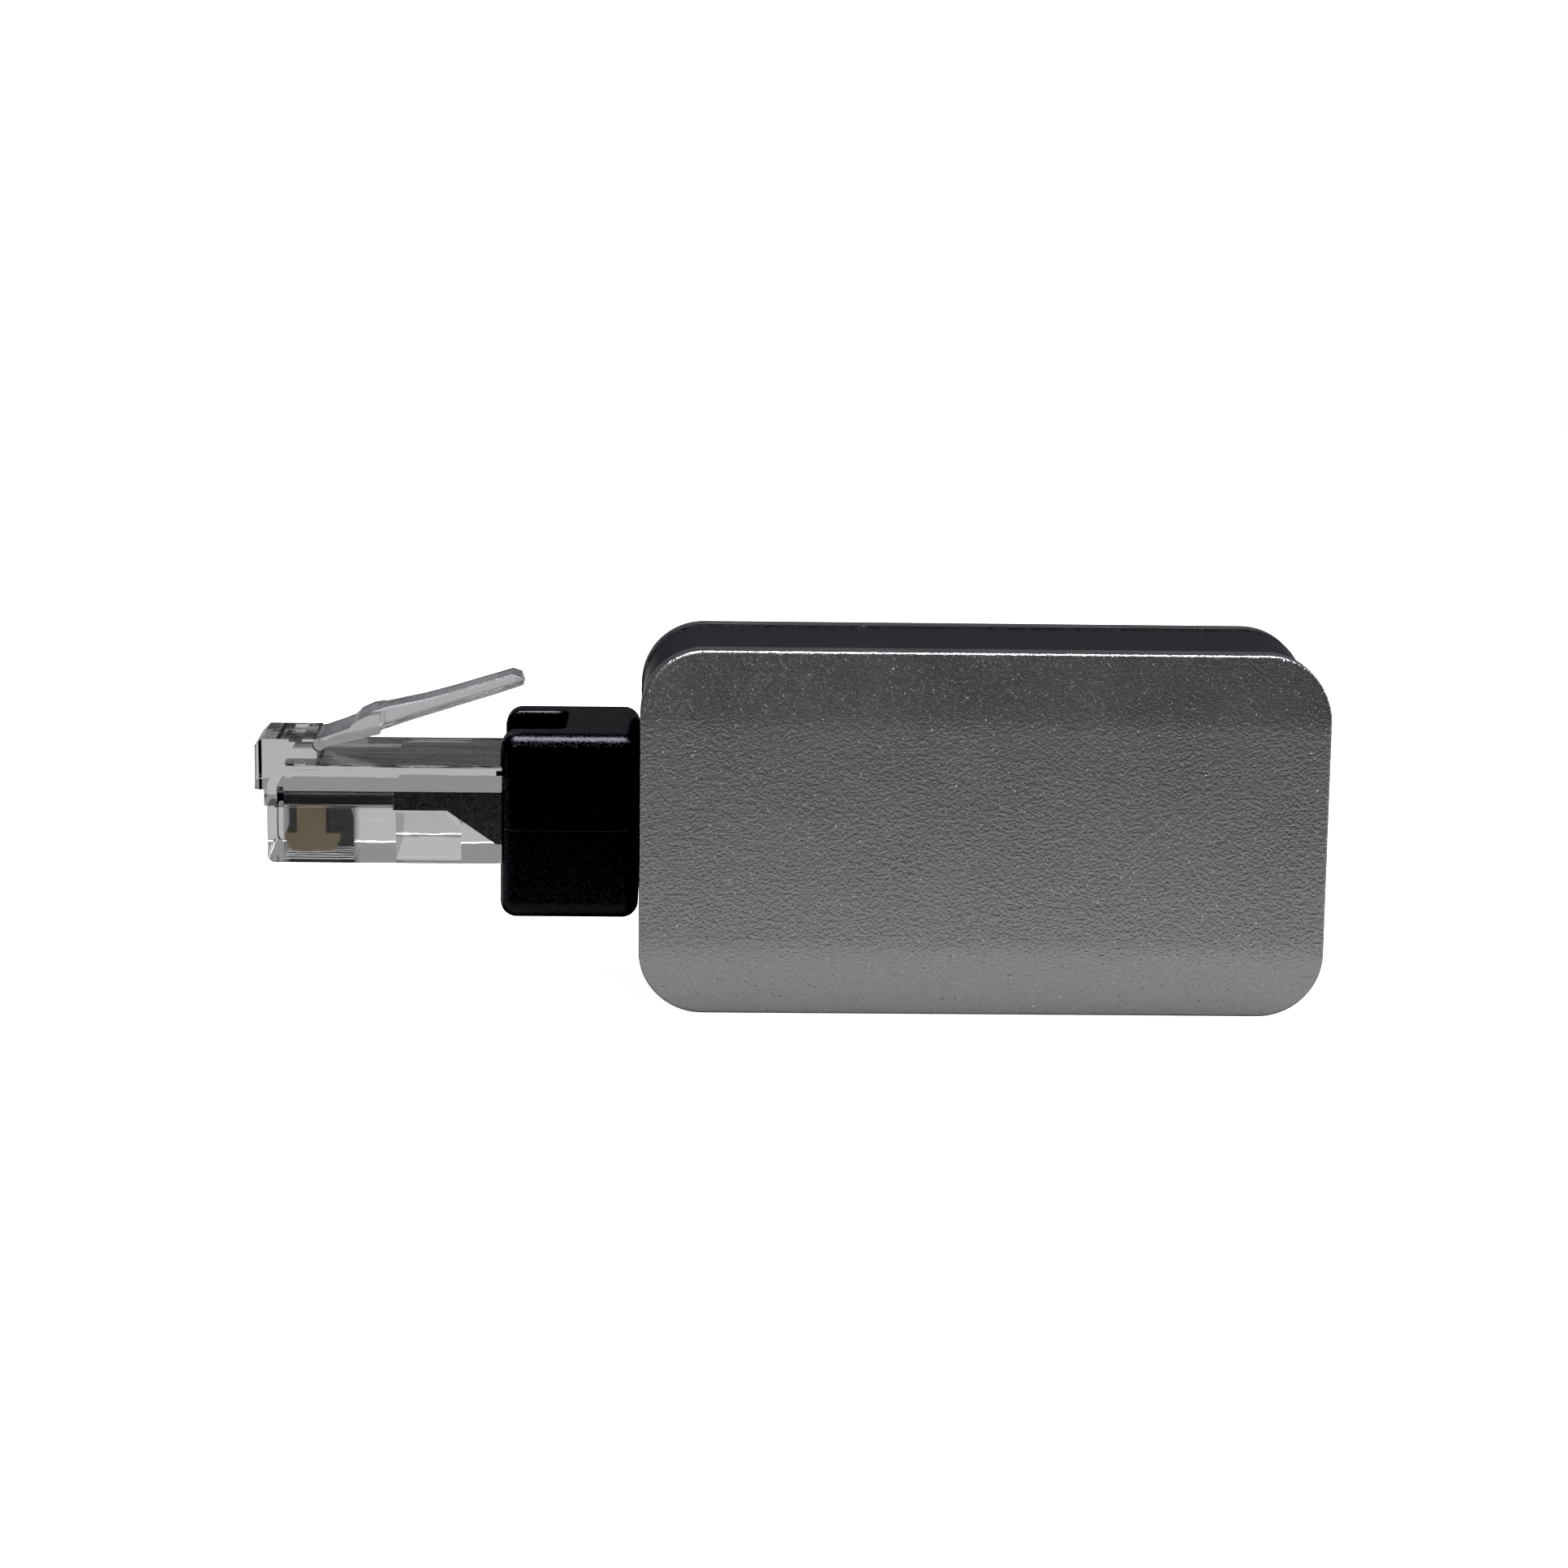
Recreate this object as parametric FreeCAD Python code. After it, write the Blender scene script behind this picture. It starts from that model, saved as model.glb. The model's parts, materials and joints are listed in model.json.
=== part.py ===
"""Inline network adapter: a clear eight-way modular plug on a black collar, and a slim body with a
modular socket in its far end.

Millimetres. X runs along the adapter, from the plug's nose to the socket; Y runs through its thickness,
from the front cover to the rear cover; Z is up, and the adapter stands on the long edges of its covers.
The origin is the bottom centre of the whole adapter.
"""
import FreeCAD, Part

import math
import os

V = FreeCAD.Vector

# ---- driving dimensions -------------------------------------------------------------------------------
BODY_LENGTH = 45.8
BODY_HEIGHT = 24.5
BODY_THICKNESS = 15.0
BODY_CORNER_R = 4.3
NOSE_REACH = 25.8          # from the body's left end to the plug's nose
FIT = 0.03                 # gap between fixed pieces that meet
WALL = 1.3

BODY_LEFT = NOSE_REACH - (BODY_LENGTH + NOSE_REACH) / 2
BODY_RIGHT = BODY_LEFT + BODY_LENGTH
BODY_MID_Z = BODY_HEIGHT / 2

# covers: a flat band along the middle of the face, and a bevelled band above and below it
COVER_RIM = 2.3            # how far a cover reaches in from its face
COVER_BEVEL_HEIGHT = 4.5
COVER_BEVEL_DROP = 0.5
COVER_CREASE_R = 12.0
COVER_EDGE_R = 0.22
POST_R = 0.9
POST_LENGTH = 3.2
POST_INSET = 2.75          # from the body's outline to a post's axis

# middle frame
FRAME_RECESS = 0.15        # the frame's outline lies this far inside the covers'
FRAME_WALL = 1.5
FRAME_HALF = BODY_THICKNESS / 2 - COVER_RIM - FIT
FRAME_BOSS_R = 1.5
SCREW_BOSS_R = 2.0

# modular plug, eight ways
WAYS = 8
PITCH = 1.02
PLUG_WIDTH = 11.68
PLUG_HEIGHT = 6.6
PLUG_Z0 = 9.8
PLUG_Z1 = PLUG_Z0 + PLUG_HEIGHT
PLUG_LENGTH = 21.5
NOSE_X = BODY_LEFT - NOSE_REACH
PLUG_REAR = NOSE_X + PLUG_LENGTH
PLUG_FRONT_LOW = NOSE_X + 1.1      # front of the contact half
PLUG_FRONT_HIGH = NOSE_X + 2.2     # front of the shoulders beside the nose
PLUG_TOP_SLOPE_WIDTH = 0.45        # shallow slope along both long top edges
PLUG_TOP_SLOPE_DROP = 0.12
PLUG_EDGE_R = 0.1
SHOULDER_Z = PLUG_Z0 + 3.85
STEP_END = NOSE_X + 8.1            # end of the small step along the front half of the top edges
STEP_DEPTH = 0.15
STEP_HEIGHT = 0.32
NOSE_WIDTH = 6.6
NOSE_TOP = PLUG_Z0 + 7.9
NOSE_LIP_Z = PLUG_Z0 + 4.45        # underside of the lip at the nose's tip
NOSE_CHIN = NOSE_X + 0.65          # the nose's front below the lip
NOSE_CHAMFER = 0.5
NOSE_REAR = NOSE_X + 4.2
WIRE_Z = PLUG_Z0 + 4.1
WIRE_R = 0.45
WIRE_START = NOSE_X + 1.6
WIRE_SLOT_HALF = 0.56

# contact blades of the plug
BLADE_X0 = NOSE_X + 2.17
BLADE_LENGTH = 3.64
BLADE_BAR_HEIGHT = 1.2
BLADE_RECESS = 0.56
BLADE_THICKNESS = 0.3
BLADE_STEM_FRONT = 0.78            # from the bar's ends to the stem
BLADE_STEM_REAR = 0.92
BLADE_TEETH = 3
BLADE_SLOT_REAR = BLADE_X0 + BLADE_LENGTH + 0.95

# pocket under the plug, above which the cable's grip would lie
POCKET_X0 = NOSE_X + 9.55
POCKET_X1 = NOSE_X + 13.9
POCKET_HALF_WIDTH = 3.9
POCKET_HEIGHT = 3.2
POCKET_CORNER = 1.1

# latch lever, hinged where its root meets the nose
HINGE_X = NOSE_X + 4.35
HINGE_Z = PLUG_Z1 + 0.9
HINGE_R = 0.4
HINGE_GAP = 0.05
LATCH_BASE_WIDTH = 6.0
LATCH_LEVER_WIDTH = 3.2

# collar moulded over the back of the plug
COLLAR_X0 = BODY_LEFT - 9.25
COLLAR_X1 = BODY_LEFT - 0.05
COLLAR_Z0 = 6.2
COLLAR_Z1 = 18.65
COLLAR_WIDTH = 13.0
COLLAR_R = 1.1
NOTCH_WIDTH = 7.0
NOTCH_LENGTH = 4.2
NOTCH_FLOOR = PLUG_Z1 + 0.45
NIB_Z = 15.85                      # small moulding nibs in front of the collar, beside the plug
NIB_SIZE = 0.3
TONGUE_FRONT = NOSE_X + 9.4
TONGUE_HALF_WIDTH = 4.9
TONGUE_TOP = WIRE_Z + 0.66
TONGUE_THIN_FLOOR = WIRE_Z - 0.62
TONGUE_DEEP_FLOOR = PLUG_Z0 + 1.2
TONGUE_SLOPE_FRONT = NOSE_X + 13.0
TONGUE_SLOPE_REAR = NOSE_X + 16.3
NECK_HALF_WIDTH = 4.2
NECK_HALF_HEIGHT = 3.8
NECK_Z = WIRE_Z - 0.6
NECK_END = BODY_LEFT + 3.1
CLIP_X = BODY_LEFT + 1.72
CLIP_THICKNESS = 0.8
CLIP_BITE = 0.7

# circuit board, which stands in the middle of the case
BOARD_Y0 = 0.5
BOARD_THICKNESS = 1.0
BOARD_Y1 = BOARD_Y0 + BOARD_THICKNESS
BOARD_X0 = BODY_LEFT + 12.4
BOARD_X1 = BODY_LEFT + 38.5
BOARD_MARGIN = 2.0
SCREW_X = BOARD_X0 + 1.7
SCREW_INSET = 3.5
SCREW_R = 0.6

# modular socket behind the frame's right wall: contacts on its -Y side, latch slots on its +Y side
JACK_X0 = BODY_LEFT + 28.6
JACK_X1 = BODY_RIGHT - FRAME_RECESS - FRAME_WALL - FIT
JACK_Y0 = -5.9
JACK_Y1 = 5.5
JACK_WIDTH = 15.9
JACK_EAR = 1.7             # the ears that rest on the board, beside the socket
SOCKET_Y0 = -4.7
SOCKET_HEIGHT = 6.9
SOCKET_WIDTH = 12.0
SOCKET_DEPTH = 13.2        # from the frame's outer face
SLOT_WIDE = 6.4
SLOT_WIDE_DEPTH = 1.5
SLOT_NARROW = 4.2
SLOT_NARROW_DEPTH = 1.0
LEAD_WIDTH = 0.46
LEAD_THICKNESS = 0.3
LEAD_Y = -5.35
SPRING_PIVOT_X = BODY_RIGHT - 3.8
SPRING_PIVOT_Y = -4.93
SPRING_LENGTH = 8.5
SPRING_ANGLE = 17.0        # degrees above the socket's floor
SPRING_EYE_R = 0.22

# magnetics module on the board
MODULE_X0 = BOARD_X0 + 4.2
MODULE_LENGTH = 9.0
MODULE_WIDTH = 12.7
MODULE_HEIGHT = 5.0
MODULE_PITCH = 1.27


# ---- helpers ------------------------------------------------------------------------------------------
def box(x0, x1, y0, y1, z0, z1):
    """An upright box between two corners."""
    return Part.makeBox(x1 - x0, y1 - y0, z1 - z0, V(x0, y0, z0))


def prism_y(points, y0, y1):
    """A polygon of (x, z) points, pulled along Y."""
    wire = Part.makePolygon([V(x, y0, z) for x, z in points + points[:1]])
    return Part.Face(wire).extrude(V(0, y1 - y0, 0))


def prism_x(points, x0, x1):
    """A polygon of (y, z) points, pulled along X."""
    wire = Part.makePolygon([V(x0, y, z) for y, z in points + points[:1]])
    return Part.Face(wire).extrude(V(x1 - x0, 0, 0))


def rod_y(x, z, r, y0, y1):
    """A round bar along Y."""
    return Part.makeCylinder(r, y1 - y0, V(x, y0, z), V(0, 1, 0))


def rounded_slab(inset, y0, y1):
    """The body's rounded outline, taken in by inset, pulled along Y."""
    slab = box(BODY_LEFT + inset, BODY_RIGHT - inset, y0, y1, inset, BODY_HEIGHT - inset)
    corners = [e for e in slab.Edges if abs(e.tangentAt(e.FirstParameter).y) > 0.99]
    return slab.makeFillet(BODY_CORNER_R - inset, corners)


def near(a, b):
    """Whether two sizes are the same, apart from rounding."""
    return abs(a - b) < 1e-6


def edges_where(shape, test):
    """Edges whose middle point passes the test."""
    picked = []
    for edge in shape.Edges:
        middle = edge.valueAt((edge.FirstParameter + edge.LastParameter) / 2)
        if test(middle):
            picked.append(edge)
    return picked


def way_offsets():
    """Distance of each of the eight ways from the middle."""
    return [(i - (WAYS - 1) / 2) * PITCH for i in range(WAYS)]


def body_corners(inset):
    """The (x, z) of the four points that lie inset from the body's sides."""
    return [(x, z) for x in (BODY_LEFT + inset, BODY_RIGHT - inset) for z in (inset, BODY_HEIGHT - inset)]


def save(node, shape):
    """Writes one node's STEP file."""
    shape.exportStep(os.path.join("parts", node + ".step"))


# ---- covers and frame ---------------------------------------------------------------------------------
def cover_block():
    """The front cover's outer form: flat band, two soft creases, two bevelled bands, rounded rim."""
    face_y = -BODY_THICKNESS / 2
    edge_y = face_y + COVER_BEVEL_DROP
    back_y = face_y + COVER_RIM
    low, high = COVER_BEVEL_HEIGHT, BODY_HEIGHT - COVER_BEVEL_HEIGHT
    profile = [(back_y, 0), (edge_y, 0), (face_y, low), (face_y, high), (edge_y, BODY_HEIGHT),
               (back_y, BODY_HEIGHT)]
    bar = prism_x(profile, BODY_LEFT, BODY_RIGHT)
    middle_x = (BODY_LEFT + BODY_RIGHT) / 2
    creases = edges_where(bar, lambda m: near(m.y, face_y) and abs(m.x - middle_x) < 1)
    bar = bar.makeFillet(COVER_CREASE_R, creases)
    block = bar.common(rounded_slab(0, face_y, back_y))
    rim = edges_where(block, lambda m: m.y < edge_y + 0.05 and on_outline(m))
    return block.makeFillet(COVER_EDGE_R, rim)


def on_outline(point):
    """Whether a point lies on the body's rounded outline, seen along Y."""
    reach_x = max(BODY_LEFT + BODY_CORNER_R - point.x, point.x - BODY_RIGHT + BODY_CORNER_R, 0)
    reach_z = max(BODY_CORNER_R - point.z, point.z - BODY_HEIGHT + BODY_CORNER_R, 0)
    return abs(math.hypot(reach_x, reach_z) - BODY_CORNER_R) < 0.01


def front_cover():
    """Shallow silver shell with four press posts on its inside."""
    face_y = -BODY_THICKNESS / 2
    hollow = rounded_slab(WALL, face_y + WALL, face_y + COVER_RIM + 1)
    shell = cover_block().cut(hollow)
    post_root, post_end = face_y + WALL - 0.2, face_y + WALL + POST_LENGTH
    posts = [rod_y(x, z, POST_R, post_root, post_end) for x, z in body_corners(POST_INSET)]
    return shell.fuse(posts).removeSplitter()


def rear_cover():
    """The front cover's mirror image."""
    return front_cover().mirror(V(0, 0, 0), V(0, 1, 0))


def socket_profile(x0, x1, grow=0.0):
    """The plug-shaped hole of the socket, with its two latch steps, pulled along X."""
    wide_top = SOCKET_Y0 + SOCKET_HEIGHT
    main = box(x0, x1, SOCKET_Y0 - grow, wide_top + grow,
               BODY_MID_Z - SOCKET_WIDTH / 2 - grow, BODY_MID_Z + SOCKET_WIDTH / 2 + grow)
    step = box(x0, x1, wide_top - 1, wide_top + SLOT_WIDE_DEPTH + grow,
               BODY_MID_Z - SLOT_WIDE / 2 - grow, BODY_MID_Z + SLOT_WIDE / 2 + grow)
    slot = box(x0, x1, wide_top, wide_top + SLOT_WIDE_DEPTH + SLOT_NARROW_DEPTH + grow,
               BODY_MID_Z - SLOT_NARROW / 2 - grow, BODY_MID_Z + SLOT_NARROW / 2 + grow)
    return main.fuse([step, slot]).removeSplitter()


def screw_places():
    """The (x, z) of the two board screws."""
    return [(SCREW_X, SCREW_INSET), (SCREW_X, BODY_HEIGHT - SCREW_INSET)]


def mid_frame():
    """Black ring between the covers, with sockets for their posts, bosses for the board's screws, the
    neck's hole on the left and the socket's hole on the right."""
    outer = rounded_slab(FRAME_RECESS, -FRAME_HALF, FRAME_HALF)
    inner = rounded_slab(FRAME_RECESS + FRAME_WALL, -FRAME_HALF - 1, FRAME_HALF + 1)
    ring = outer.cut(inner)
    bosses = [rod_y(x, z, FRAME_BOSS_R, -FRAME_HALF, FRAME_HALF) for x, z in body_corners(POST_INSET)]
    bosses += [rod_y(x, z, SCREW_BOSS_R, BOARD_Y1 + FIT, FRAME_HALF) for x, z in screw_places()]
    ring = ring.fuse([b.common(outer) for b in bosses]).removeSplitter()
    post_end = BODY_THICKNESS / 2 - WALL - POST_LENGTH - 0.2
    holes = [rod_y(x, z, POST_R + FIT, -FRAME_HALF - 1, -post_end) for x, z in body_corners(POST_INSET)]
    holes += [rod_y(x, z, POST_R + FIT, post_end, FRAME_HALF + 1) for x, z in body_corners(POST_INSET)]
    holes += [rod_y(x, z, SCREW_R + 0.01, 0, FRAME_HALF - 0.6) for x, z in screw_places()]
    holes.append(neck_bar(BODY_LEFT - 1, BODY_LEFT + 3, 2 * FIT))
    holes.append(socket_profile(BODY_RIGHT - 3, BODY_RIGHT + 1))
    return ring.cut(holes).removeSplitter()


# ---- plug ---------------------------------------------------------------------------------------------
def tongue_profile(gap):
    """The (x, z) outline of the collar's tongue; gap takes it in from the cavity that holds it."""
    top, thin, deep = TONGUE_TOP - gap, TONGUE_THIN_FLOOR + gap, TONGUE_DEEP_FLOOR + gap
    front, rear = TONGUE_FRONT + gap, PLUG_REAR + 0.2
    return [(rear, deep), (TONGUE_SLOPE_REAR, deep), (TONGUE_SLOPE_FRONT, thin), (front, thin),
            (front, top), (rear, top)]


def plug_body_block():
    """Full-width block of the plug: contact half, upper half set back, sloped and stepped top edges."""
    half = PLUG_WIDTH / 2
    low = box(PLUG_FRONT_LOW, PLUG_REAR, -half, half, PLUG_Z0, SHOULDER_Z)
    low = low.makeFillet(0.5, edges_where(low, lambda m: near(m.z, PLUG_Z0) and near(m.x, PLUG_FRONT_LOW)))
    outer = edges_where(low, lambda m: near(abs(m.y), half) and m.z < SHOULDER_Z - 0.1
                        and m.x < PLUG_REAR - 0.1)
    low = low.makeFillet(PLUG_EDGE_R, outer)
    crown = half - PLUG_TOP_SLOPE_WIDTH
    eaves = PLUG_Z1 - PLUG_TOP_SLOPE_DROP
    profile = [(-half, SHOULDER_Z), (-half, eaves), (-crown, PLUG_Z1), (crown, PLUG_Z1), (half, eaves),
               (half, SHOULDER_Z)]
    high = prism_x(profile, PLUG_FRONT_HIGH, PLUG_REAR)
    steps = [box(PLUG_FRONT_HIGH - 1, STEP_END, y - STEP_DEPTH, y + STEP_DEPTH,
                 PLUG_Z1 - STEP_HEIGHT, PLUG_Z1) for y in (-half, half)]
    return low.fuse(high).cut(steps).removeSplitter()


def nose_block():
    """The narrow nose that stands forward of the plug and above it, where the latch is rooted."""
    outline = [(NOSE_X, NOSE_LIP_Z), (NOSE_X, NOSE_TOP - NOSE_CHAMFER), (NOSE_X + NOSE_CHAMFER, NOSE_TOP),
               (NOSE_REAR, NOSE_TOP), (NOSE_REAR, PLUG_Z1 - 1), (PLUG_FRONT_HIGH + 0.5, SHOULDER_Z - 0.5),
               (NOSE_CHIN, SHOULDER_Z - 0.5), (NOSE_CHIN, NOSE_LIP_Z)]
    half = NOSE_WIDTH / 2
    block = prism_y(outline, -half, half)
    lip = edges_where(block, lambda m: near(m.x, NOSE_X) and near(abs(m.y), half))
    block = block.makeFillet(0.35, lip)
    dip = box(NOSE_X + 2.3, NOSE_X + 3.2, -half + 0.5, half - 0.5, NOSE_TOP - 0.25, NOSE_TOP + 1)
    return block.cut(dip)


def blade_slot(y):
    """The slot of one blade, with a rounded roof at its rear."""
    half = BLADE_THICKNESS / 2 + 0.02
    slot = box(BLADE_X0 - 0.1, BLADE_SLOT_REAR, y - half, y + half, PLUG_Z0 - 1, WIRE_Z)
    roof = edges_where(slot, lambda m: near(m.x, BLADE_SLOT_REAR) and near(m.z, WIRE_Z))
    return slot.makeFillet(1.3, roof)


def plug_housing():
    """Clear housing of the plug: blade slots, wire slot, rear cavity and the pocket below it."""
    shape = plug_body_block().fuse(nose_block()).removeSplitter()
    wire_half = (WAYS - 1) / 2 * PITCH + WIRE_R + 0.1
    tongue_half = TONGUE_HALF_WIDTH + FIT
    cuts = [box(WIRE_START - 0.1, TONGUE_FRONT + 1, -wire_half, wire_half,
                WIRE_Z - WIRE_SLOT_HALF, WIRE_Z + WIRE_SLOT_HALF)]
    cuts.append(prism_y(tongue_profile(0.0), -tongue_half, tongue_half))
    cuts += [blade_slot(y) for y in way_offsets()]
    roof = PLUG_Z0 + POCKET_HEIGHT
    pocket = [(POCKET_X0, PLUG_Z0 - 1), (POCKET_X0, roof), (POCKET_X1 - POCKET_CORNER, roof),
              (POCKET_X1, roof - POCKET_CORNER), (POCKET_X1, PLUG_Z0 - 1)]
    cuts.append(prism_y(pocket, -POCKET_HALF_WIDTH, POCKET_HALF_WIDTH))
    cuts.append(rod_y(HINGE_X, HINGE_Z, HINGE_R + HINGE_GAP, -NOSE_WIDTH, NOSE_WIDTH))
    return shape.cut(cuts).removeSplitter()


def contact_blade(y):
    """One gold blade: a contact bar with cut toes, a stem and teeth that bite the wire."""
    bar_z = PLUG_Z0 + BLADE_RECESS
    stem_z = bar_z + BLADE_BAR_HEIGHT
    x0, x1 = BLADE_X0, BLADE_X0 + BLADE_LENGTH
    s0, s1 = x0 + BLADE_STEM_FRONT, x1 - BLADE_STEM_REAR
    toe_x, toe_z = 0.45, 0.75
    tooth_z = WIRE_Z - 0.25
    outline = [(x0, bar_z + toe_z), (x0 + toe_x, bar_z), (x1 - toe_x, bar_z), (x1, bar_z + toe_z),
               (x1, stem_z), (s1, stem_z), (s1, tooth_z)]
    pitch = (s1 - s0) / BLADE_TEETH
    for i in range(BLADE_TEETH):
        outline.append((s1 - (i + 0.5) * pitch, WIRE_Z + 0.15))
        outline.append((s1 - (i + 1) * pitch, tooth_z))
    outline += [(s0, stem_z), (x0, stem_z)]
    return prism_y(outline, y - BLADE_THICKNESS / 2, y + BLADE_THICKNESS / 2)


def from_hinge(points):
    """The (x, z) of points that are given from the latch's hinge."""
    return [(HINGE_X + x, HINGE_Z + z) for x, z in points]


def latch_lever():
    """Clear latch: round root, wide arm with the locking shoulder, narrow thumb lever."""
    base_half, lever_half = LATCH_BASE_WIDTH / 2, LATCH_LEVER_WIDTH / 2
    arm = [(0, 0.38), (1.25, 0.82), (2.0, 1.12), (2.5, 1.6), (3.3, 1.97), (4.05, 2.1),
           (4.05, 0.72), (0.9, 0.0), (0, -0.38)]
    lever = [(3.3, 1.97), (4.3, 2.33), (6.9, 2.9), (8.7, 3.4), (11.0, 4.1), (12.8, 4.65), (13.4, 4.45),
             (13.6, 3.9), (12.1, 3.38), (6.1, 1.45), (4.0, 0.72), (3.3, 0.75)]
    root = rod_y(HINGE_X, HINGE_Z, HINGE_R, -base_half, base_half)
    arm_bar = prism_y(from_hinge(arm), -base_half, base_half)
    lever_bar = prism_y(from_hinge(lever), -lever_half, lever_half)
    tip = edges_where(lever_bar, lambda m: m.x > HINGE_X + 5 and near(abs(m.y), lever_half))
    lever_bar = lever_bar.makeFillet(0.2, tip)
    return root.fuse([arm_bar, lever_bar]).removeSplitter()


# ---- collar and wires ---------------------------------------------------------------------------------
def neck_bar(x0, x1, grow=0.0):
    """The collar's neck, which passes through the frame's left wall."""
    return box(x0, x1, -NECK_HALF_WIDTH - grow, NECK_HALF_WIDTH + grow,
               NECK_Z - NECK_HALF_HEIGHT - grow, NECK_Z + NECK_HALF_HEIGHT + grow)


def latch_notch():
    """The notch in the collar's top that leaves room for the latch's lever."""
    end = COLLAR_X0 + NOTCH_LENGTH
    half = NOTCH_WIDTH / 2
    notch = box(COLLAR_X0 - 1, end, -half, half, NOTCH_FLOOR, COLLAR_Z1 + 1)
    corners = edges_where(notch, lambda m: near(m.x, end) and near(abs(m.y), half))
    return notch.makeFillet(0.8, corners)


def plug_collar():
    """Black collar: rounded block round the plug's back, latch notch, tongue inside the plug, neck."""
    half = COLLAR_WIDTH / 2
    block = box(COLLAR_X0, COLLAR_X1, -half, half, COLLAR_Z0, COLLAR_Z1)
    block = block.makeFillet(COLLAR_R, block.Edges)
    plug_half = PLUG_WIDTH / 2 + FIT
    pocket = box(COLLAR_X0 - 1, PLUG_REAR + FIT, -plug_half, plug_half, PLUG_Z0 - FIT, PLUG_Z1 + FIT)
    nibs = [box(COLLAR_X0 - 0.25, COLLAR_X0 + 1, y, y + NIB_SIZE, NIB_Z, NIB_Z + NIB_SIZE)
            for y in (-plug_half - NIB_SIZE, plug_half)]
    tongue = prism_y(tongue_profile(FIT), -TONGUE_HALF_WIDTH, TONGUE_HALF_WIDTH)
    shape = block.cut([latch_notch(), pocket])
    shape = shape.fuse(nibs + [tongue, neck_bar(COLLAR_X1 - 1, NECK_END)]).removeSplitter()
    notch_front, notch_end = COLLAR_X0 + COLLAR_R + 0.2, COLLAR_X0 + NOTCH_LENGTH + 0.1
    rim = edges_where(shape, lambda m: near(m.z, COLLAR_Z1) and abs(m.y) < NOTCH_WIDTH / 2 + 0.1
                      and notch_front < m.x < notch_end)
    shape = shape.makeFillet(0.35, rim)
    return shape.cut(clip_grooves(half) + wire_bores()).removeSplitter()


def clip_grooves(half):
    """The two grooves across the collar's neck that its clip bites into."""
    x1 = CLIP_X + CLIP_THICKNESS + 2 * FIT
    low = NECK_Z - NECK_HALF_HEIGHT + CLIP_BITE
    high = NECK_Z + NECK_HALF_HEIGHT - CLIP_BITE
    return [box(CLIP_X, x1, -half, half, low - 1, low), box(CLIP_X, x1, -half, half, high, high + 1)]


def wire_bores():
    """The eight round holes through the tongue and the neck."""
    start = TONGUE_FRONT - 1
    return [Part.makeCylinder(WIRE_R + 0.02, NECK_END + 1 - start, V(start, y, WIRE_Z), V(1, 0, 0))
            for y in way_offsets()]


def collar_clip():
    """U-shaped clip that holds the collar's neck from inside the case."""
    plate = box(CLIP_X + FIT, CLIP_X + FIT + CLIP_THICKNESS, -NECK_HALF_WIDTH - 0.6, NECK_HALF_WIDTH + 0.9,
                NECK_Z - NECK_HALF_HEIGHT - 1.0, NECK_Z + NECK_HALF_HEIGHT + 1.0)
    gap = NECK_HALF_HEIGHT - CLIP_BITE + FIT
    slot = box(CLIP_X - 1, CLIP_X + 2, -NECK_HALF_WIDTH - 1, NECK_HALF_WIDTH + FIT,
               NECK_Z - gap, NECK_Z + gap)
    return plate.cut(slot)


def core_wire(offset):
    """One insulated wire: along its way of the plug, then a quarter twist onto the board's face."""
    def turned(x, degrees):
        a = math.radians(degrees)
        return V(x, offset * math.cos(a), WIRE_Z + offset * math.sin(a))

    twist_start, twist_end = NECK_END + 2.5, BOARD_X0 - 0.4
    points = [turned(WIRE_START, 0), turned(twist_start, 0), turned((twist_start + twist_end) / 2, 45),
              turned(twist_end, 90), turned(BOARD_X0 + 1.9, 90)]
    spine = rounded_path(points)
    ring = Part.Wire([Part.makeCircle(WIRE_R, points[0], V(1, 0, 0))])
    return spine.makePipeShell([ring], True, False)


def rounded_path(points):
    """Straight runs joined by tangent arcs, each arc as large as its two runs allow."""
    share = 0.45
    edges, at = [], points[0]
    for before, corner, after in zip(points, points[1:], points[2:]):
        into, out = (corner - before), (after - corner)
        reach = share * min(into.Length, out.Length)
        start = corner - V(into).normalize() * reach
        end = corner + V(out).normalize() * reach
        turn = into.getAngle(out)
        if turn < 1e-3:
            continue
        bow = (V(out).normalize() - V(into).normalize()).normalize()
        radius = reach / math.tan(turn / 2)
        middle = corner + bow * (radius / math.cos(turn / 2) - radius)
        edges += [Part.LineSegment(at, start).toShape(), Part.Arc(start, middle, end).toShape()]
        at = end
    edges.append(Part.LineSegment(at, points[-1]).toShape())
    return Part.Wire(edges)


def wire_joints():
    """Solder on the board at the end of each wire."""
    x0 = BOARD_X0 + 1.95
    joints = []
    for offset in way_offsets():
        bead = Part.makeCylinder(WIRE_R, 0.9, V(x0, BOARD_Y0 + 0.1, WIRE_Z + offset), V(1, 0, 0))
        joints.append(bead.common(box(x0, x0 + 1, -2, BOARD_Y0 - 0.01, 0, BODY_HEIGHT)))
    return Part.makeCompound(joints)


# ---- board and its components -------------------------------------------------------------------------
def circuit_board():
    """Board standing in the case, forked round the socket."""
    plate = box(BOARD_X0, BOARD_X1, BOARD_Y0, BOARD_Y1, BOARD_MARGIN, BODY_HEIGHT - BOARD_MARGIN)
    half = JACK_WIDTH / 2 + 0.2
    cuts = [box(JACK_X0 - 0.2, BOARD_X1 + 1, -2, 3, BODY_MID_Z - half, BODY_MID_Z + half)]
    cuts += [rod_y(x, z, SCREW_R + 0.25, 0, 3) for x, z in screw_places()]
    return plate.cut(cuts)


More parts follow.
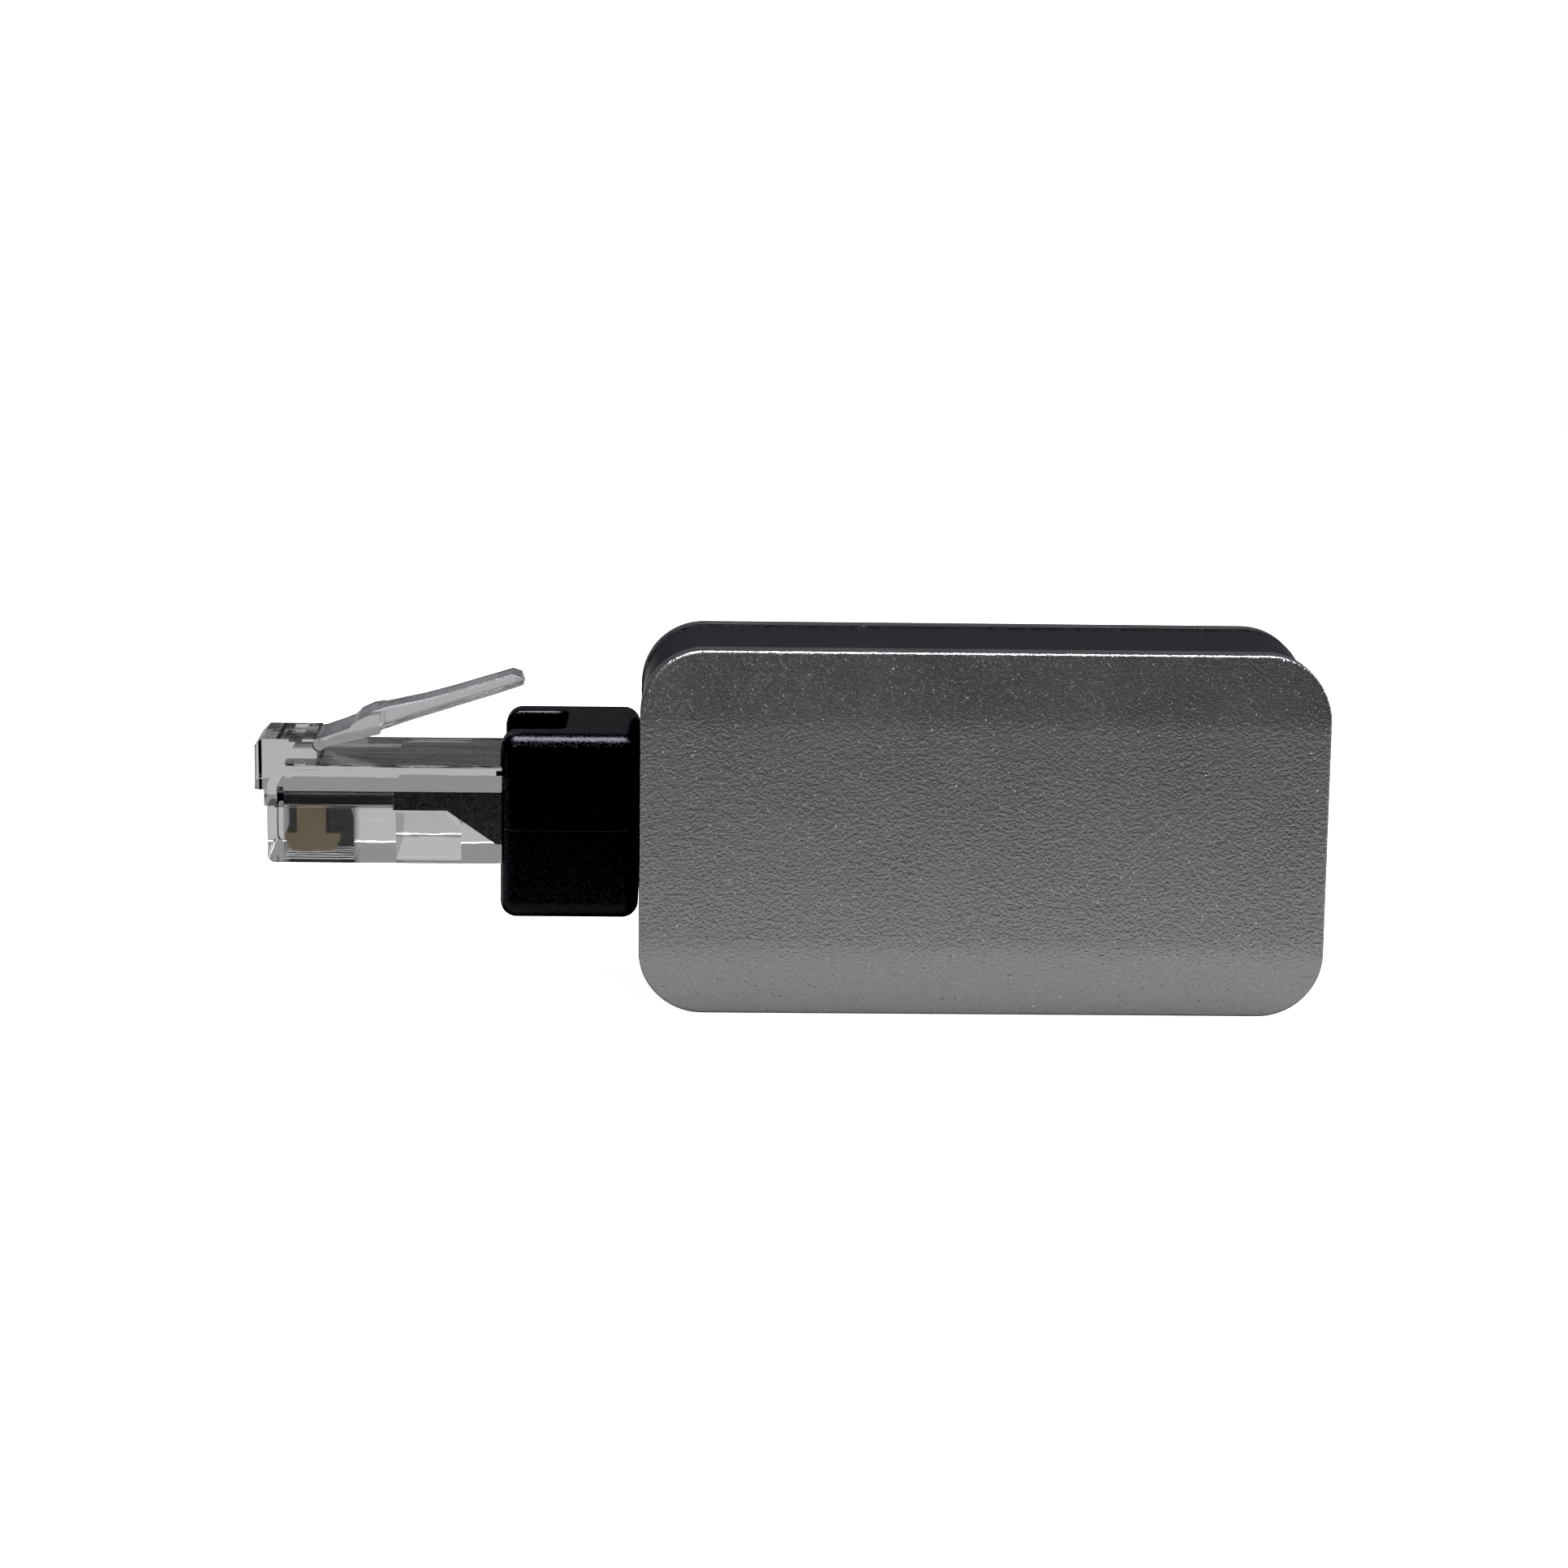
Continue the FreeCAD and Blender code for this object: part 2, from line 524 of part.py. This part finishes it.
def board_screws():
    """Two pan-head screws that hold the board to the frame."""
    screws = []
    for x, z in screw_places():
        head = rod_y(x, z, 1.35, BOARD_Y0 - 0.9, BOARD_Y0 - 0.01)
        head = head.makeFillet(0.4, edges_where(head, lambda m: near(m.y, BOARD_Y0 - 0.9)))
        slot = [box(x - a, x + a, BOARD_Y0 - 1, BOARD_Y0 - 0.5, z - b, z + b)
                for a, b in ((0.8, 0.13), (0.13, 0.8))]
        shank = rod_y(x, z, SCREW_R, BOARD_Y0 - 0.2, FRAME_HALF - 0.9)
        screws.append(head.fuse(shank).cut(slot).removeSplitter())
    return Part.makeCompound(screws)


def magnetics_module():
    """Moulded case of the isolating transformers."""
    x0, y1, half = MODULE_X0, BOARD_Y0 - 0.25, MODULE_WIDTH / 2
    y0 = y1 - MODULE_HEIGHT
    case = box(x0, x0 + MODULE_LENGTH, y0, y1, BODY_MID_Z - half, BODY_MID_Z + half)
    return case.makeChamfer(0.4, edges_where(case, lambda m: near(m.y, y0)))


def gull_wing(x_case, side, z):
    """One lead of the module, bent down from its case to the board."""
    t, w = 0.2, 0.4
    y_mid = BOARD_Y0 - 2.6
    reach = x_case + side * 0.7
    foot = x_case + side * 1.15
    outline = [(x_case, y_mid), (reach, y_mid), (reach, BOARD_Y0 - t), (foot, BOARD_Y0 - t),
               (foot, BOARD_Y0), (reach - side * t, BOARD_Y0), (reach - side * t, y_mid + t),
               (x_case, y_mid + t)]
    wire = Part.makePolygon([V(x, y, z - w / 2) for x, y in outline + outline[:1]])
    return Part.Face(wire).extrude(V(0, 0, w))


def magnetics_leads():
    """Eight leads on each side of the module."""
    leads = []
    for i in range(WAYS):
        z = BODY_MID_Z + (i - (WAYS - 1) / 2) * MODULE_PITCH
        leads.append(gull_wing(MODULE_X0, -1, z))
        leads.append(gull_wing(MODULE_X0 + MODULE_LENGTH, 1, z))
    return Part.makeCompound(leads)


def surge_array():
    """Flat surge-protection chip on the back of the board."""
    x0, z0 = BOARD_X0 + 4.5, BODY_MID_Z - 2.5
    return box(x0, x0 + 6.0, BOARD_Y1, BOARD_Y1 + 1.5, z0, z0 + 5.0)


def chip_row(count, length, width, height, x0, z0, step):
    """A row of small two-ended chip parts along Z on the back of the board."""
    rows = [box(x0, x0 + length, BOARD_Y1, BOARD_Y1 + height, z0 + i * step, z0 + i * step + width)
            for i in range(count)]
    return Part.makeCompound(rows)


def high_voltage_capacitors():
    """Two large chip capacitors."""
    return chip_row(2, 4.5, 2.0, 1.6, BOARD_X0 + 1.6, 6.0, 10.4)


def termination_resistors():
    """Four termination resistors."""
    return chip_row(4, 1.6, 0.8, 0.5, BOARD_X0 + 12.2, 8.0, 2.6)


# ---- socket -------------------------------------------------------------------------------------------
def jack_housing():
    """Black socket moulding with its plug space, lead channels and comb slots."""
    half = JACK_WIDTH / 2
    block = box(JACK_X0, JACK_X1, JACK_Y0, JACK_Y1, BODY_MID_Z - half, BODY_MID_Z + half)
    ears = box(JACK_X0 + 2, JACK_X0 + 8, BOARD_Y0 - 1.2, BOARD_Y0 - FIT,
               BODY_MID_Z - half - JACK_EAR, BODY_MID_Z + half + JACK_EAR)
    block = block.fuse(ears)
    back = BODY_RIGHT - FRAME_RECESS - SOCKET_DEPTH
    cuts = [socket_profile(back, JACK_X1 + 1)]
    channel = LEAD_WIDTH / 2 + 0.05
    for offset in way_offsets():
        z = BODY_MID_Z + offset
        cuts.append(box(JACK_X0 - 1, SPRING_PIVOT_X + 0.4, LEAD_Y - LEAD_THICKNESS / 2 - 0.03,
                        LEAD_Y + LEAD_THICKNESS / 2 + 0.03, z - channel, z + channel))
        cuts.append(box(back, SPRING_PIVOT_X + 0.4, LEAD_Y, SOCKET_Y0 + 1, z - channel, z + channel))
    return block.cut(cuts).removeSplitter()


def contact_lead(z):
    """Fixed lead of one socket contact: under the socket's floor, down its back and onto the board."""
    t = LEAD_THICKNESS / 2
    back = JACK_X0 - 0.6
    mouth = SPRING_PIVOT_X + 0.2
    outline = [(mouth, LEAD_Y - t), (mouth, LEAD_Y + t), (back + t, LEAD_Y + t),
               (back + t, BOARD_Y0), (back - 1.0, BOARD_Y0), (back - 1.0, BOARD_Y0 - 2 * t),
               (back - t, BOARD_Y0 - 2 * t), (back - t, LEAD_Y - t)]
    wire = Part.makePolygon([V(x, y, z - LEAD_WIDTH / 2) for x, y in outline + outline[:1]])
    return Part.Face(wire).extrude(V(0, 0, LEAD_WIDTH))


def contact_spring(z):
    """Sprung arm of one socket contact, from its bend near the mouth to its free end."""
    a = math.radians(SPRING_ANGLE)
    along, across = V(-math.cos(a), math.sin(a), 0), V(math.sin(a), math.cos(a), 0)
    pivot = V(SPRING_PIVOT_X, SPRING_PIVOT_Y, z - LEAD_WIDTH / 2)
    t = LEAD_THICKNESS / 2
    tip = pivot + along * SPRING_LENGTH
    hook = tip + V(-0.7, -0.25, 0)
    outline = [pivot + across * t, tip + across * t, hook + across * t, hook - across * t, tip - across * t,
               pivot - across * t]
    arm = Part.Face(Part.makePolygon(outline + outline[:1])).extrude(V(0, 0, LEAD_WIDTH))
    eye = Part.makeCylinder(SPRING_EYE_R, LEAD_WIDTH, pivot)
    return arm.fuse(eye).removeSplitter()


# ---- build --------------------------------------------------------------------------------------------
def main():
    os.makedirs("parts", exist_ok=True)
    save("front_cover", front_cover())
    save("rear_cover", rear_cover())
    save("mid_frame", mid_frame())
    save("plug_housing", plug_housing())
    save("latch_lever", latch_lever())
    save("plug_collar", plug_collar())
    save("collar_clip", collar_clip())
    save("circuit_board", circuit_board())
    save("board_screws", board_screws())
    save("wire_joints", wire_joints())
    save("magnetics_module", magnetics_module())
    save("magnetics_leads", magnetics_leads())
    save("surge_array", surge_array())
    save("high_voltage_capacitors", high_voltage_capacitors())
    save("termination_resistors", termination_resistors())
    save("jack_housing", jack_housing())
    for number, offset in enumerate(way_offsets(), start=1):
        save(f"contact_blade_{number}", contact_blade(offset))
        save(f"core_wire_{number}", core_wire(offset))
        save(f"contact_lead_{number}", contact_lead(BODY_MID_Z + offset))
        save(f"contact_spring_{number}", contact_spring(BODY_MID_Z + offset))


main()
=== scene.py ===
"""Looks of the inline network adapter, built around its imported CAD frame."""
import json
import math

import bpy
from mathutils import Matrix, Vector


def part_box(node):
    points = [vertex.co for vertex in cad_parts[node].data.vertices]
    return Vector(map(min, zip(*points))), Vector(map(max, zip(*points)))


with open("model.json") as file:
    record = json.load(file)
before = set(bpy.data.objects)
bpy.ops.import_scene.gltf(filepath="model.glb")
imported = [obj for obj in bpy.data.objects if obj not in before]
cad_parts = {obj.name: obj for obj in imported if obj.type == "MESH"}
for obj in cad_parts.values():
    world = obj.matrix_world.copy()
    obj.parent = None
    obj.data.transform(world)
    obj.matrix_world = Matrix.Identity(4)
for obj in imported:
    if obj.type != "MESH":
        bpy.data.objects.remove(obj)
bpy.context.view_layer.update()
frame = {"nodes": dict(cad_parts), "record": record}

MM = 0.001

# the photograph's view, in the CAD frame: metres, degrees and millimetres of lens
CAMERA_AT = Vector((-0.00808, -0.26892, 0.06416))
CAMERA_YAW = 1.671
CAMERA_PITCH = -10.494
CAMERA_ROLL = 0.793
LENS = 92.42
SENSOR = 36.0
NEAREST = 0.01

# how bright the room looks, where 1 is white
ROOM_MIRRORED = 0.076
ROOM_THROUGH_CLEAR = 0.30
ROOM_TO_CAMERA = 1.0
BACKDROP_FROM = 0.3     # share of +Y in a direction that meets the backdrop
BLACK_LEVEL = 0.012     # brightness that is shown as black

# the floor, in metres
FLOOR_HALF = 0.4
SHADE_FAR = -0.085      # painted shade: in front of this, the mirrored floor is at its darkest
SHADE_NEAR = -0.02      # painted light: behind this, it is at its lightest
BEHIND_FROM = -0.01     # painted light: the floor that shows through clear plastic is lit from here
BEHIND_TO = 0.01        # to here

# light that glows from the floor itself: evenly to the camera, and as painted light behind the object through
# clear plastic
GLOW_TO_CAMERA = 0.95
GLOW_THROUGH_CLEAR = 0.17


# ---- node helpers ---------------------------------------------------------------------------------------
class Nodes:
    """Short calls for building a node tree."""

    def __init__(self, tree):
        self.tree = tree

    def add(self, kind, **values):
        """A node, with its properties and its inputs set by name."""
        node = self.tree.nodes.new(kind)
        for key, value in values.items():
            if hasattr(node, key):
                setattr(node, key, value)
            else:
                node.inputs[key.replace("_", " ")].default_value = value
        return node

    def link(self, out, into):
        self.tree.links.new(out, into)

    def feed(self, value, into):
        """Links a socket, or sets a number or a colour."""
        if isinstance(value, bpy.types.NodeSocket):
            self.link(value, into)
        else:
            into.default_value = value

    def split(self, vector):
        """The X, Y and Z of a vector."""
        node = self.add("ShaderNodeSeparateXYZ")
        self.link(vector, node.inputs[0])
        return node.outputs

    def math(self, operation, a, b=0):
        """Arithmetic on two values, each a number or a socket."""
        node = self.add("ShaderNodeMath", operation=operation)
        self.feed(a, node.inputs[0])
        self.feed(b, node.inputs[1])
        return node.outputs[0]

    def fit(self, value, low, high, to_low, to_high):
        """A value moved from one range to another, and kept within it."""
        node = self.add("ShaderNodeMapRange", From_Min=low, From_Max=high, To_Min=to_low, To_Max=to_high)
        self.link(value, node.inputs["Value"])
        return node.outputs[0]

    def blend(self, factor, start, end):
        """A colour between two, each three numbers or a socket."""
        node = self.add("ShaderNodeMix", data_type="RGBA")
        self.link(factor, node.inputs["Factor"])
        for colour, into in ((start, node.inputs[6]), (end, node.inputs[7])):
            self.feed((*colour, 1) if isinstance(colour, tuple) else colour, into)
        return node.outputs[2]


class Material(Nodes):
    """One material's node tree: a principled shader, patterned by the object's own coordinates."""

    def __init__(self, name):
        self.material = bpy.data.materials.new(name)
        self.material.use_nodes = True
        super().__init__(self.material.node_tree)
        self.tree.nodes.clear()
        self.shader = self.add("ShaderNodeBsdfPrincipled")
        self.link(self.shader.outputs[0], self.add("ShaderNodeOutputMaterial").inputs["Surface"])
        self.place = self.add("ShaderNodeTexCoord").outputs["Object"]

    def finish(self, **sockets):
        """Feeds the shader's inputs by name, and gives back the material."""
        for key, value in sockets.items():
            self.feed(value, self.shader.inputs[key.replace("_", " ")])
        return self.material

    def stretched(self, x, y, z):
        """The object's coordinates, stretched along each axis."""
        node = self.add("ShaderNodeMapping", Scale=(x, y, z))
        self.link(self.place, node.inputs["Vector"])
        return node.outputs[0]

    def noise(self, size, detail=2.0, rough=0.5, place=None):
        """Noise whose grains are about size metres across."""
        node = self.add("ShaderNodeTexNoise", Scale=1 / size, Detail=detail, Roughness=rough)
        self.link(place or self.place, node.inputs["Vector"])
        return node.outputs["Fac"]

    def cells(self, size):
        """Three random numbers for each of many small cells."""
        node = self.add("ShaderNodeTexVoronoi", Scale=1 / size)
        channels = self.add("ShaderNodeSeparateColor")
        self.link(self.place, node.inputs["Vector"])
        self.link(node.outputs["Color"], channels.inputs[0])
        return channels.outputs[:3]

    def bump(self, height, distance):
        """A normal bumped by height times distance metres."""
        node = self.add("ShaderNodeBump", Strength=1.0, Distance=distance)
        self.link(height, node.inputs["Height"])
        return node.outputs[0]

    def tilted(self, normal, amount, x, z):
        """A normal tipped along X and Z by two random numbers from 0 to 1, times an amount."""
        push = self.add("ShaderNodeCombineXYZ")
        for socket, value in ((push.inputs["X"], x), (push.inputs["Z"], z)):
            self.link(self.math("MULTIPLY", self.math("SUBTRACT", value, 0.5), amount), socket)
        total = self.add("ShaderNodeVectorMath", operation="ADD")
        unit = self.add("ShaderNodeVectorMath", operation="NORMALIZE")
        self.link(normal, total.inputs[0])
        self.link(push.outputs[0], total.inputs[1])
        self.link(total.outputs[0], unit.inputs[0])
        return unit.outputs[0]


# ---- materials ------------------------------------------------------------------------------------------
# Roughness that wanders across 0.27 leaves outlines in a denoised render, so most surfaces keep off it.
def plastic(name, dark, light, rough, grain, depth, coat=0.0, gloss=0.5):
    """A moulded plastic with a fine grain: colour, roughness and bump all vary a little."""
    m = Material(name)
    broad = m.noise(4 * MM, 3)
    fine = m.noise(grain, 2)
    return m.finish(Base_Color=m.blend(broad, dark, light), Coat_Weight=coat, Coat_Roughness=0.08,
                    Roughness=m.fit(broad, 0.3, 0.7, rough - 0.05, rough + 0.05),
                    Specular_IOR_Level=gloss, Normal=m.bump(fine, depth))


def metal(name, dark, light, rough, grain, depth):
    """A plated or bare metal with fine marks."""
    m = Material(name)
    broad = m.noise(1.5 * MM, 3)
    fine = m.noise(grain, 2, 0.6, m.stretched(0.3, 1, 1))
    return m.finish(Base_Color=m.blend(broad, dark, light), Metallic=1.0,
                    Roughness=m.fit(broad, 0.3, 0.7, rough - 0.07, rough + 0.07), Normal=m.bump(fine, depth))


def clear(name, rough, haze, tint):
    """Clear, slightly grey plastic with faint flow marks. Haze is the share of light that it scatters."""
    m = Material(name)
    flow = m.noise(0.9 * MM, 2, 0.5, m.stretched(0.3, 1, 1))
    paler = tuple(min(1, v * 1.04) for v in tint)
    return m.finish(Base_Color=m.blend(flow, tint, paler), Transmission_Weight=1 - haze, IOR=1.56,
                    Roughness=m.fit(flow, 0.3, 0.7, rough * 0.5, rough * 1.5),
                    Specular_IOR_Level=0.2, Normal=m.bump(flow, 0.010 * MM))


def cover_silver():
    """Silver-grey metallic finish: fine orange peel, with a few metal flakes that lie at odd angles."""
    m = Material("cover_silver")
    peel = m.noise(0.165 * MM, 1.5, 0.5, m.stretched(0.85, 1, 1))
    cloud = m.noise(6 * MM, 2)
    pick, tip_x, tip_z = m.cells(0.08 * MM)
    flake = m.fit(pick, 0.98, 0.985, 0, 1)
    paint = m.blend(cloud, (0.44, 0.428, 0.423), (0.48, 0.467, 0.461))
    shine = m.math("SUBTRACT", m.fit(cloud, 0.3, 0.7, 0.28, 0.33), m.math("MULTIPLY", flake, 0.12))
    tilt = m.math("MULTIPLY", flake, 0.9)
    return m.finish(Base_Color=m.blend(flake, paint, (0.62, 0.62, 0.61)), Metallic=1.0, Roughness=shine,
                    Normal=m.tilted(m.bump(peel, 0.055 * MM), tilt, tip_x, tip_z))


def collar_black():
    """Black moulding with a spark-eroded grain and a faint parting line near mid-height."""
    m = Material("collar_black")
    broad = m.noise(4 * MM, 3)
    grain = m.noise(0.11 * MM, 1)
    pick, tip_x, tip_z = m.cells(0.09 * MM)
    low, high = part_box("plug_collar")
    line_z = (low[2] + high[2]) / 2 - 0.2 * MM
    off_line = m.math("ABSOLUTE", m.math("SUBTRACT", m.split(m.place)["Z"], line_z))
    seam = m.fit(off_line, 0.02 * MM, 0.05 * MM, 1, 0)
    black = m.blend(broad, (0.002, 0.002, 0.003), (0.004, 0.004, 0.006))
    return m.finish(Base_Color=m.blend(seam, black, (0.02, 0.02, 0.022)), Specular_IOR_Level=0.38,
                    Roughness=m.fit(pick, 0, 1, 0.14, 0.36),
                    Normal=m.tilted(m.bump(grain, 0.006 * MM), 0.16, tip_x, tip_z))


MATERIALS = {
    "cover_silver": cover_silver(),
    "frame_black": plastic("frame_black", (0.009, 0.009, 0.011), (0.015, 0.015, 0.018), rough=0.33,
                           grain=0.3 * MM, depth=0.003 * MM, gloss=0.4),
    "plug_clear": clear("plug_clear", rough=0.03, haze=0.0, tint=(0.92, 0.92, 0.91)),
    "latch_clear": clear("latch_clear", rough=0.14, haze=0.06, tint=(0.90, 0.90, 0.90)),
    "collar_black": collar_black(),
    "clip_black": plastic("clip_black", (0.012, 0.012, 0.012), (0.02, 0.02, 0.02), rough=0.5,
                          grain=0.2 * MM, depth=0.006 * MM),
    "board_green": plastic("board_green", (0.01, 0.07, 0.03), (0.015, 0.10, 0.04), rough=0.34,
                           grain=0.6 * MM, depth=0.004 * MM, coat=0.4),
    "screw_steel": metal("screw_steel", (0.50, 0.50, 0.50), (0.65, 0.65, 0.65), rough=0.3,
                         grain=0.2 * MM, depth=0.004 * MM),
    "solder": metal("solder", (0.55, 0.55, 0.55), (0.72, 0.72, 0.71), rough=0.28,
                    grain=0.2 * MM, depth=0.006 * MM),
    "module_black": plastic("module_black", (0.012, 0.012, 0.012), (0.025, 0.025, 0.025), rough=0.55,
                            grain=0.15 * MM, depth=0.008 * MM),
    "lead_tin": metal("lead_tin", (0.55, 0.55, 0.54), (0.70, 0.70, 0.68), rough=0.32,
                      grain=0.2 * MM, depth=0.004 * MM),
    "chip_black": plastic("chip_black", (0.015, 0.015, 0.015), (0.03, 0.03, 0.03), rough=0.5,
                          grain=0.15 * MM, depth=0.008 * MM),
    "capacitor_tan": plastic("capacitor_tan", (0.30, 0.19, 0.10), (0.42, 0.28, 0.16), rough=0.4,
                             grain=0.2 * MM, depth=0.006 * MM),
    "resistor_black": plastic("resistor_black", (0.015, 0.015, 0.015), (0.03, 0.03, 0.03), rough=0.25,
                              grain=0.2 * MM, depth=0.004 * MM),
    "jack_black": plastic("jack_black", (0.045, 0.045, 0.047), (0.065, 0.065, 0.068), rough=0.38,
                          grain=0.25 * MM, depth=0.006 * MM),
    "contact_gold": metal("contact_gold", (0.70, 0.57, 0.34), (0.86, 0.71, 0.44), rough=0.35,
                          grain=0.15 * MM, depth=0.004 * MM),
    "wire_black": plastic("wire_black", (0.002, 0.002, 0.003), (0.005, 0.005, 0.006), rough=0.35,
                          grain=0.3 * MM, depth=0.006 * MM, gloss=0.2),
    "lead_gold": metal("lead_gold", (0.60, 0.46, 0.20), (0.75, 0.60, 0.30), rough=0.3,
                       grain=0.15 * MM, depth=0.004 * MM),
    "spring_gold": metal("spring_gold", (0.66, 0.50, 0.22), (0.82, 0.66, 0.33), rough=0.40,
                         grain=0.15 * MM, depth=0.004 * MM),
}


def paint_cad_nodes():
    """Gives every CAD node the material of its slot."""
    for part in frame["record"]["subparts"]:
        mesh = frame["nodes"][part["node"]].data
        mesh.materials.clear()
        mesh.materials.append(MATERIALS[part["material_slot"]])


# ---- stage ----------------------------------------------------------------------------------------------
def floor_material():
    """White to the camera. Mirrored it is mid-grey, with painted shade far in front of the object and painted
    light close to it; through clear plastic it has painted light behind the object only.
    """
    m = Material("floor_white")
    rays = m.add("ShaderNodeLightPath").outputs
    to_camera = rays["Is Camera Ray"]
    through_clear = rays["Is Transmission Ray"]
    depth = m.split(m.place)["Y"]
    near = m.fit(depth, SHADE_FAR, SHADE_NEAR, 0, 1)
    behind = m.fit(depth, BEHIND_FROM, BEHIND_TO, 0, 1)
    # painted light and shade, seen only in reflections: the floor is darker far in front of the object and
    # lighter close to it
    mirrored = m.blend(near, (0.143, 0.141, 0.122), (0.39, 0.385, 0.335))
    # painted light behind the object, seen only through clear plastic
    seen_through = m.blend(behind, (0.12, 0.12, 0.11), (0.25, 0.25, 0.22))
    painted_floor_light = m.blend(through_clear, mirrored, seen_through)
    # the glow behind the object through clear plastic is painted light; to the camera the floor glows evenly
    # white
    glow = m.math("ADD", m.math("MULTIPLY", to_camera, GLOW_TO_CAMERA),
                  m.math("MULTIPLY", m.math("MULTIPLY", through_clear, behind), GLOW_THROUGH_CLEAR))
    return m.finish(Base_Color=m.blend(to_camera, painted_floor_light, (0.98, 0.98, 0.98)), Emission_Color=(1, 1, 1, 1),
                    Emission_Strength=glow, Roughness=m.fit(m.noise(50 * MM), 0.3, 0.7, 0.85, 0.95))


def make_floor():
    """Wide pale floor under the object."""
    corners = [(x * FLOOR_HALF, y * FLOOR_HALF, 0) for x, y in ((-1, -1), (1, -1), (1, 1), (-1, 1))]
    mesh = bpy.data.meshes.new("floor")
    mesh.from_pydata(corners, [], [(0, 1, 2, 3)])
    mesh.materials.append(floor_material())
    floor = bpy.data.objects.new("floor", mesh)
    bpy.context.scene.collection.objects.link(floor)


def area_light(name, at, target, size, power, colour=(1, 1, 1)):
    """A soft rectangular light at a place, pointing at a target."""
    light = bpy.data.lights.new(name, "AREA")
    light.shape = "RECTANGLE"
    light.size, light.size_y = size
    light.energy = power
    light.color = colour
    lamp = bpy.data.objects.new(name, light)
    lamp.location = at
    lamp.rotation_euler = (Vector(target) - Vector(at)).to_track_quat("-Z", "Y").to_euler()
    bpy.context.scene.collection.objects.link(lamp)


def make_lights():
    """One large soft light above, a small one in front and one facing the socket's end."""
    area_light("overhead", at=(0, -0.05, 0.5), target=(0, 0, 0), size=(0.44, 0.26), power=3.65,
               colour=(0.97, 0.97, 1.14))
    area_light("front", at=(-0.15, -0.5, 0.35), target=(0, 0, 0.01), size=(0.15, 0.1), power=0.15)
    area_light("end", at=(0.4, 0.12, 0.14), target=(0.036, 0, 0.012), size=(0.3, 0.2), power=0.6)


def make_room():
    """A dim room with a pale backdrop, which shows through clear plastic and is white to the camera."""
    world = bpy.data.worlds.new("studio")
    bpy.context.scene.world = world
    world.use_nodes = True
    n = Nodes(world.node_tree)
    rays = n.add("ShaderNodeLightPath").outputs
    to_back = n.split(n.add("ShaderNodeTexCoord").outputs["Generated"])["Y"]
    backdrop = n.fit(to_back, 0, BACKDROP_FROM, ROOM_MIRRORED, ROOM_THROUGH_CLEAR)
    level = n.blend(rays["Is Transmission Ray"], (ROOM_MIRRORED,) * 3, backdrop)
    level = n.blend(rays["Is Camera Ray"], level, (ROOM_TO_CAMERA,) * 3)
    n.link(level, n.tree.nodes["Background"].inputs["Color"])


def make_camera():
    """Camera at the photograph's place and angle."""
    data = bpy.data.cameras.new("camera")
    data.sensor_width = SENSOR
    data.lens = LENS
    data.clip_start = NEAREST
    yaw, pitch, roll = (math.radians(angle) for angle in (CAMERA_YAW, CAMERA_PITCH, CAMERA_ROLL))
    turn = Matrix.Rotation(-yaw, 3, "Z") @ Matrix.Rotation(math.pi / 2 + pitch, 3, "X")
    turn = turn @ Matrix.Rotation(roll, 3, "Z")
    camera = bpy.data.objects.new("camera", data)
    camera.matrix_world = Matrix.Translation(CAMERA_AT) @ turn.to_4x4()
    bpy.context.scene.collection.objects.link(camera)
    bpy.context.scene.camera = camera


def set_tones():
    """Plain tones with deep blacks."""
    view = bpy.context.scene.view_settings
    view.view_transform = "Standard"
    view.use_curve_mapping = True
    view.curve_mapping.black_level = (BLACK_LEVEL,) * 3
    view.curve_mapping.update()


set_tones()
make_camera()
make_floor()
make_lights()
make_room()
paint_cad_nodes()
